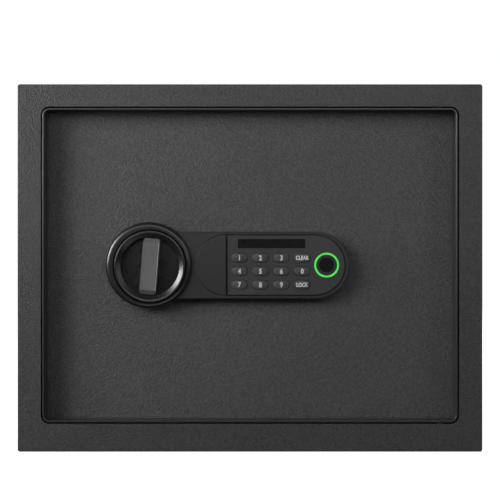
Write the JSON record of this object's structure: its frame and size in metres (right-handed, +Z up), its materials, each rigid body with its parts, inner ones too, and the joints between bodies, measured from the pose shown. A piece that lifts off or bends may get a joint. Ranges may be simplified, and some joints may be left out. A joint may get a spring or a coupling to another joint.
{
  "type": "wall safe",
  "caption": "Flat electronic wall safe with a recessed hinged door, turning bolt knob, keypad, fingerprint sensor, covered emergency lock and a sheet steel box that fits between wall studs.",
  "frame": {"origin": "centre of the wall flange on its back face, which lies on the wall's surface", "axes": "+X to the right seen from the room, +Z up, +Y into the wall"},
  "size_m": [0.392, 0.1012, 0.31],
  "materials": {
    "powder_coat": "fine textured black powder coat",
    "inner_coat": "smooth dark grey powder coat",
    "case_plastic": "satin black ABS",
    "knob_plastic": "semi-gloss black ABS",
    "grip_satin": "satin grey paint on zinc",
    "face_plastic": "satin black ABS",
    "key_plastic": "satin dark grey ABS with white printed legend",
    "display_dark": "dark tinted polycarbonate",
    "light_ring": "translucent diffuser lit green",
    "sensor_bezel": "satin dark grey",
    "sensor_dark": "dark coated sensor",
    "zinc_steel": "bright zinc plated steel",
    "bolt_steel": "turned and plated steel",
    "bush_plastic": "natural acetal",
    "brass": "machined brass",
    "circuit_board": "green solder mask",
    "switch_body": "black switch housings",
    "coil_winding": "taped copper winding",
    "tray_plastic": "black ABS",
    "cell_can": "printed cell sleeve",
    "reset_red": "red push button"
  },
  "bodies": {
    "housing": {"front_flange": "powder_coat", "safe_shell": "inner_coat", "back_panel": "inner_coat", "bolt_strike": "inner_coat", "door_stops": "inner_coat", "hinge_lugs": "inner_coat", "hinge_washer": "tray_plastic", "shelf": "inner_coat", "shelf_brackets": "inner_coat"},
    "door": {"door_rim": "powder_coat", "door_plate": "powder_coat", "hinge_pins": "powder_coat", "lock_case": "case_plastic", "keypad_faceplate": "face_plastic", "display_lens": "display_dark", "sensor_light_ring": "light_ring", "fingerprint_sensor": "sensor_bezel", "sensor_window": "sensor_dark", "keypad_board": "circuit_board", "key_switches": "switch_body", "spindle_bush": "bush_plastic", "lock_case_screws": "zinc_steel", "boltwork_cover": "inner_coat", "cover_screws": "zinc_steel", "bolt_guide_bracket": "zinc_steel", "carriage_studs": "zinc_steel", "solenoid_frame": "zinc_steel", "solenoid_coil": "coil_winding", "plunger_spring": "bolt_steel", "key_cylinder": "brass", "battery_tray": "tray_plastic", "aa_batteries": "cell_can", "control_board": "circuit_board"},
    "knob": {"knob_body": "knob_plastic", "knob_grip": "grip_satin", "knob_spindle": "zinc_steel", "drive_cam": "zinc_steel", "cam_screw": "zinc_steel"},
    "bolt_carriage": {"bolt_carriage": "zinc_steel", "upper_bolt": "bolt_steel", "middle_bolt": "bolt_steel", "lower_bolt": "bolt_steel"},
    "solenoid_plunger": {"solenoid_plunger": "bolt_steel"},
    "emergency_lock": {"key_plug": "brass", "key_lever": "zinc_steel"},
    "emergency_cover": {"emergency_cover": "case_plastic"},
    "battery_lid": {"battery_lid": "tray_plastic"},
    "reset_button": {"reset_button": "reset_red"},
    "key_1": {"key_1": "key_plastic"},
    "key_2": {"key_2": "key_plastic"},
    "key_3": {"key_3": "key_plastic"},
    "key_clear": {"key_clear": "key_plastic"},
    "key_4": {"key_4": "key_plastic"},
    "key_5": {"key_5": "key_plastic"},
    "key_6": {"key_6": "key_plastic"},
    "key_0": {"key_0": "key_plastic"},
    "key_7": {"key_7": "key_plastic"},
    "key_8": {"key_8": "key_plastic"},
    "key_9": {"key_9": "key_plastic"},
    "key_lock": {"key_lock": "key_plastic"}
  },
  "joints": [
    {"name": "door_hinge", "type": "hinge", "parent": "housing", "child": "door", "pos_m": [0.1602, 0.003, 0.0024], "axis": [0, 0, 1], "range_deg": [0, 100]},
    {"name": "bolt_knob_turn", "type": "hinge", "parent": "door", "child": "knob", "pos_m": [-0.0846, 0, 0.0014], "axis": [0, -1, 0], "range_deg": [0, 90]},
    {"name": "bolt_slide", "type": "slide", "parent": "door", "child": "bolt_carriage", "axis": [-1, 0, 0], "range_m": [0, 0.01556]},
    {"name": "solenoid_plunger_slide", "type": "slide", "parent": "door", "child": "solenoid_plunger", "axis": [0, 0, 1], "range_m": [-0.0055, 0], "deforming": ["plunger_spring"]},
    {"name": "emergency_lock_turn", "type": "hinge", "parent": "door", "child": "emergency_lock", "pos_m": [-0.033, 0, 0.0024], "axis": [0, 1, 0], "range_deg": [0, 90]},
    {"name": "emergency_cover_hinge", "type": "hinge", "parent": "door", "child": "emergency_cover", "pos_m": [-0.0223, 0.0046, 0.0024], "axis": [0, 0, 1], "range_deg": [0, 105]},
    {"name": "battery_lid_slide", "type": "slide", "parent": "door", "child": "battery_lid", "axis": [0, 0, -1], "range_m": [0, 0.03]},
    {"name": "reset_button_press", "type": "slide", "parent": "door", "child": "reset_button", "axis": [0, -1, 0], "range_m": [0, 0.0015], "stiffness_N_per_m": 300},
    {"name": "keypad_1_press", "type": "slide", "parent": "door", "child": "key_1", "axis": [0, 1, 0], "range_m": [0, 0.0008], "stiffness_N_per_m": 300},
    {"name": "keypad_2_press", "type": "slide", "parent": "door", "child": "key_2", "axis": [0, 1, 0], "range_m": [0, 0.0008], "stiffness_N_per_m": 300},
    {"name": "keypad_3_press", "type": "slide", "parent": "door", "child": "key_3", "axis": [0, 1, 0], "range_m": [0, 0.0008], "stiffness_N_per_m": 300},
    {"name": "keypad_clear_press", "type": "slide", "parent": "door", "child": "key_clear", "axis": [0, 1, 0], "range_m": [0, 0.0008], "stiffness_N_per_m": 300},
    {"name": "keypad_4_press", "type": "slide", "parent": "door", "child": "key_4", "axis": [0, 1, 0], "range_m": [0, 0.0008], "stiffness_N_per_m": 300},
    {"name": "keypad_5_press", "type": "slide", "parent": "door", "child": "key_5", "axis": [0, 1, 0], "range_m": [0, 0.0008], "stiffness_N_per_m": 300},
    {"name": "keypad_6_press", "type": "slide", "parent": "door", "child": "key_6", "axis": [0, 1, 0], "range_m": [0, 0.0008], "stiffness_N_per_m": 300},
    {"name": "keypad_0_press", "type": "slide", "parent": "door", "child": "key_0", "axis": [0, 1, 0], "range_m": [0, 0.0008], "stiffness_N_per_m": 300},
    {"name": "keypad_7_press", "type": "slide", "parent": "door", "child": "key_7", "axis": [0, 1, 0], "range_m": [0, 0.0008], "stiffness_N_per_m": 300},
    {"name": "keypad_8_press", "type": "slide", "parent": "door", "child": "key_8", "axis": [0, 1, 0], "range_m": [0, 0.0008], "stiffness_N_per_m": 300},
    {"name": "keypad_9_press", "type": "slide", "parent": "door", "child": "key_9", "axis": [0, 1, 0], "range_m": [0, 0.0008], "stiffness_N_per_m": 300},
    {"name": "keypad_lock_press", "type": "slide", "parent": "door", "child": "key_lock", "axis": [0, 1, 0], "range_m": [0, 0.0008], "stiffness_N_per_m": 300}
  ],
  "couplings": [
    {"joint": "bolt_knob_turn", "follows": "bolt_slide", "rad_per_m": 100.98}
  ]
}
